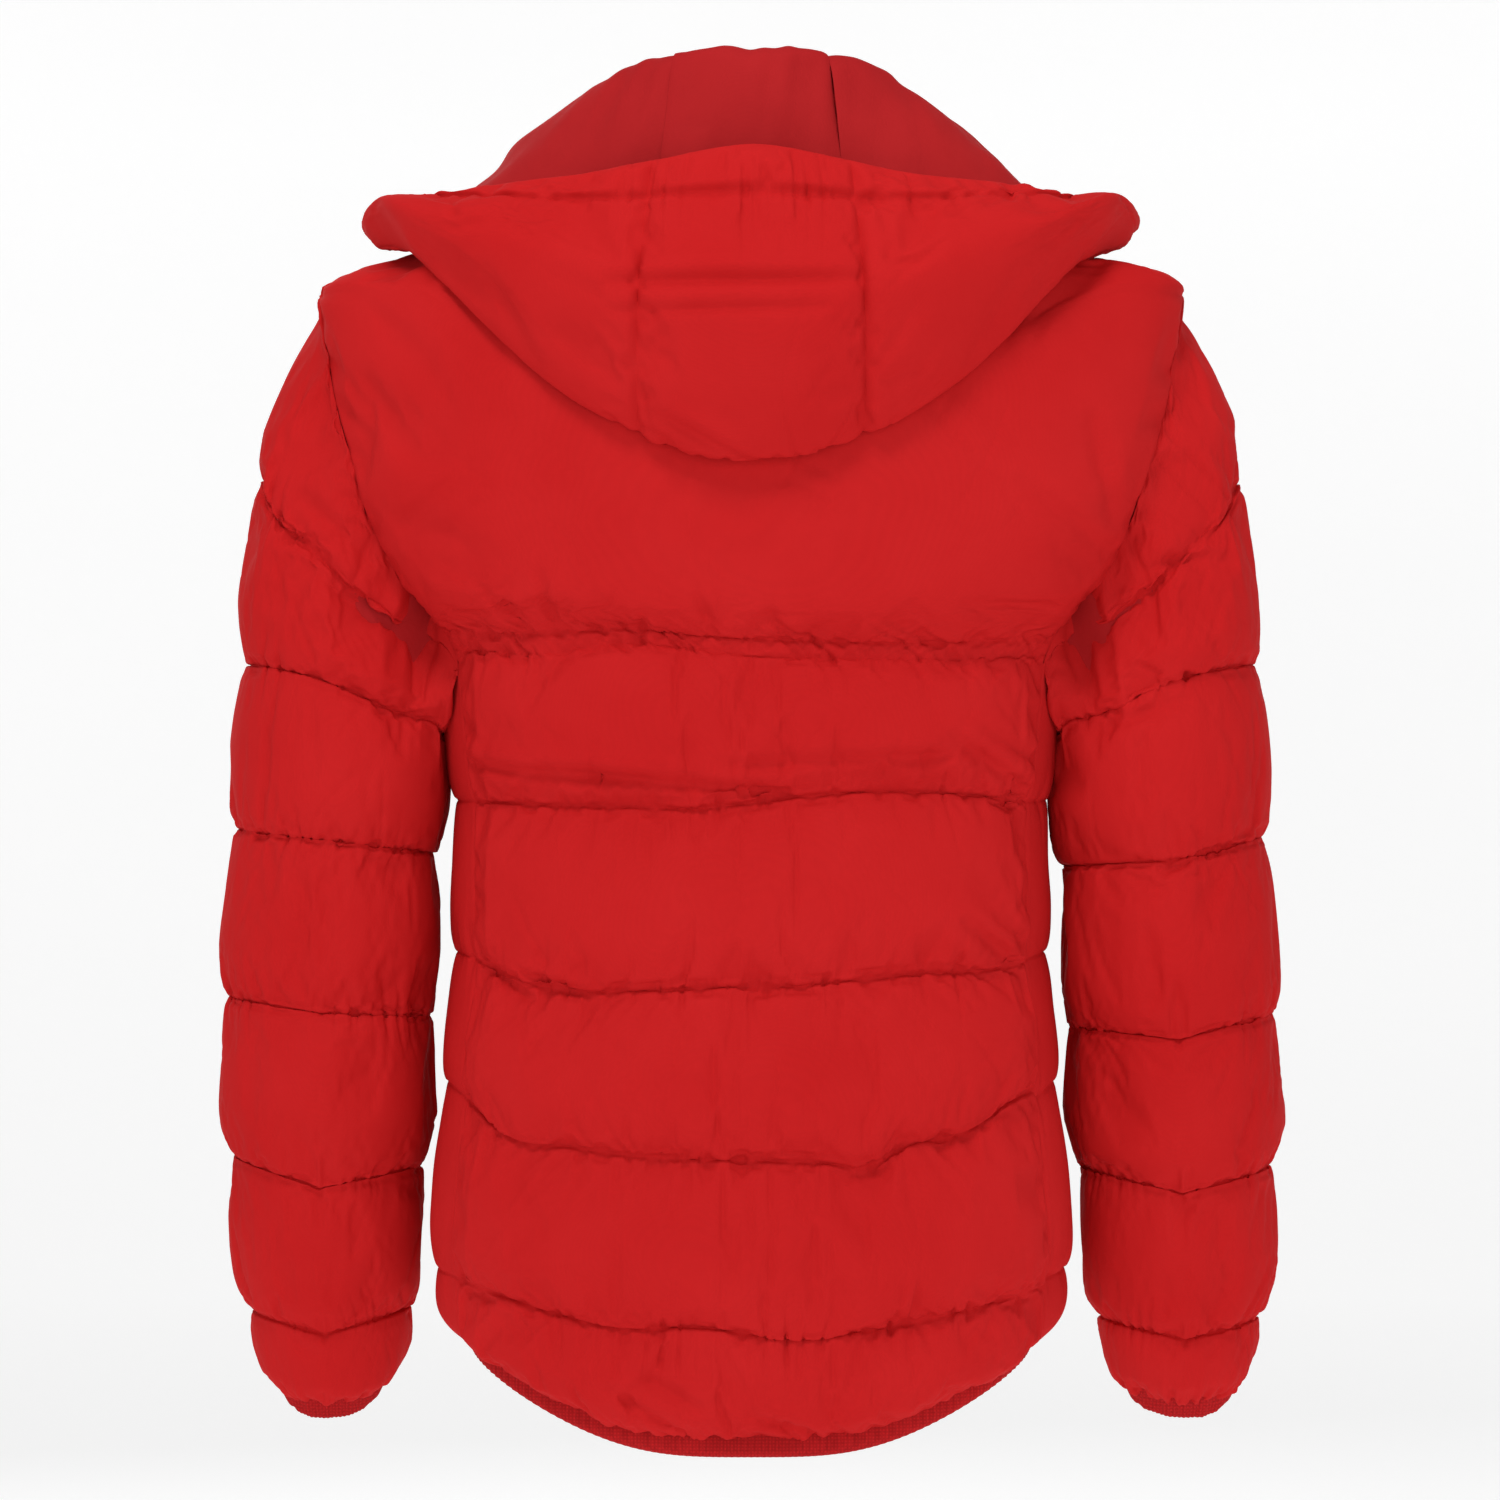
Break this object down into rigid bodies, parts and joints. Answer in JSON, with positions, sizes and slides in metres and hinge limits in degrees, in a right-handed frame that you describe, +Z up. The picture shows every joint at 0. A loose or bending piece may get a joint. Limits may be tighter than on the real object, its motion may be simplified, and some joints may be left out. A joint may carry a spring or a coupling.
{
  "type": "ski jacket",
  "caption": "Hooded padded ski jacket with horizontal quilting, gathered cuffs and hem, zipped front and hand pockets.",
  "frame": {"origin": "underside of the hanger loop's crest at the centre back of the neck, where the loop bears on a hook", "axes": "+Z up, +Y towards the wearer's back, +X to the wearer's left; the zipped front faces -Y"},
  "size_m": [0.6246, 0.3143, 0.8065],
  "materials": {
    "shell_fabric": "matte plain-weave polyester, red",
    "wadding": "white polyester wadding",
    "lining_fabric": "smooth thin polyester taffeta, red",
    "elastic_binding": "ribbed elastic binding, red",
    "zip_tape": "woven zip tape, red",
    "zip_teeth": "coil or moulded plastic teeth, red",
    "zip_metal": "lacquered zinc, dark red",
    "label": "blank woven label"
  },
  "bodies": {
    "jacket": {"back_lining": "lining_fabric", "back_shell": "shell_fabric", "back_wadding": "wadding", "chin_guard": "lining_fabric", "collar_lining": "lining_fabric", "collar_shell": "shell_fabric", "hanger_loop": "elastic_binding", "hem_binding": "elastic_binding", "hood_left_lining": "lining_fabric", "hood_left_panel": "shell_fabric", "hood_right_lining": "lining_fabric", "hood_right_panel": "shell_fabric", "left_front_lining": "lining_fabric", "left_front_shell": "shell_fabric", "left_front_wadding": "wadding", "left_pocket_bag": "lining_fabric", "left_pocket_zip_left_teeth": "zip_teeth", "left_pocket_zip_right_teeth": "zip_teeth", "left_pocket_zip_tape": "zip_tape", "left_side_shell": "shell_fabric", "left_side_wadding": "wadding", "left_sleeve_head": "shell_fabric", "main_zip_box": "zip_metal", "main_zip_insert_pin": "zip_metal", "main_zip_left_stop": "zip_metal", "main_zip_left_tape": "zip_tape", "main_zip_left_teeth": "zip_teeth", "main_zip_right_stop": "zip_metal", "main_zip_right_tape": "zip_tape", "main_zip_right_teeth": "zip_teeth", "neck_label": "label", "right_front_lining": "lining_fabric", "right_front_shell": "shell_fabric", "right_front_wadding": "wadding", "right_pocket_bag": "lining_fabric", "right_pocket_zip_left_teeth": "zip_teeth", "right_pocket_zip_right_teeth": "zip_teeth", "right_pocket_zip_tape": "zip_tape", "right_side_shell": "shell_fabric", "right_side_wadding": "wadding", "right_sleeve_head": "shell_fabric", "wind_flap": "lining_fabric"},
    "hood": {"hood_centre_lining": "lining_fabric", "hood_centre_panel": "shell_fabric"},
    "left_sleeve": {"left_cuff_binding": "elastic_binding", "left_sleeve_lining": "lining_fabric", "left_sleeve_shell": "shell_fabric", "left_sleeve_wadding": "wadding"},
    "right_sleeve": {"right_cuff_binding": "elastic_binding", "right_sleeve_lining": "lining_fabric", "right_sleeve_shell": "shell_fabric", "right_sleeve_wadding": "wadding"},
    "main_zip_slider": {"main_zip_slider": "zip_metal"},
    "main_zip_pull": {"main_zip_pull": "zip_metal"},
    "left_pocket_zip_slider": {"left_pocket_zip_slider": "zip_metal"},
    "left_pocket_zip_pull": {"left_pocket_zip_pull": "zip_metal"},
    "right_pocket_zip_slider": {"right_pocket_zip_slider": "zip_metal"},
    "right_pocket_zip_pull": {"right_pocket_zip_pull": "zip_metal"}
  },
  "joints": [
    {"name": "main_zip_slide", "type": "slide", "parent": "jacket", "child": "main_zip_slider", "axis": [0, -0.0564, -0.9984], "range_m": [0, 0.66]},
    {"name": "main_pull_hinge", "type": "hinge", "parent": "main_zip_slider", "child": "main_zip_pull", "pos_m": [0, -0.14752, -0.02024], "axis": [-1, 0, 0], "range_deg": [0, 100]},
    {"name": "hood_lift", "type": "hinge", "parent": "jacket", "child": "hood", "pos_m": [0, 0.037, 0.0446], "axis": [1, 0, 0], "range_deg": [0, 30]},
    {"name": "left_shoulder", "type": "hinge", "parent": "jacket", "child": "left_sleeve", "pos_m": [0.2, -0.058, -0.1884], "axis": [0, -1, 0], "range_deg": [0, 40]},
    {"name": "right_shoulder", "type": "hinge", "parent": "jacket", "child": "right_sleeve", "pos_m": [-0.2, -0.058, -0.1884], "axis": [0, 1, 0], "range_deg": [0, 40]},
    {"name": "left_pocket_zip_slide", "type": "slide", "parent": "jacket", "child": "left_pocket_zip_slider", "axis": [-0.104, -0.105, -0.989], "range_m": [0, 0.11]},
    {"name": "left_pocket_pull_hinge", "type": "hinge", "parent": "left_pocket_zip_slider", "child": "left_pocket_zip_pull", "pos_m": [0.09587, -0.15992, -0.48007], "axis": [-0.9479, -0.2906, 0.1305], "range_deg": [0, 100]},
    {"name": "right_pocket_zip_slide", "type": "slide", "parent": "jacket", "child": "right_pocket_zip_slider", "axis": [0.104, -0.105, -0.989], "range_m": [0, 0.11]},
    {"name": "right_pocket_pull_hinge", "type": "hinge", "parent": "right_pocket_zip_slider", "child": "right_pocket_zip_pull", "pos_m": [-0.09587, -0.15992, -0.48007], "axis": [-0.9479, 0.2906, -0.1305], "range_deg": [0, 100]}
  ]
}
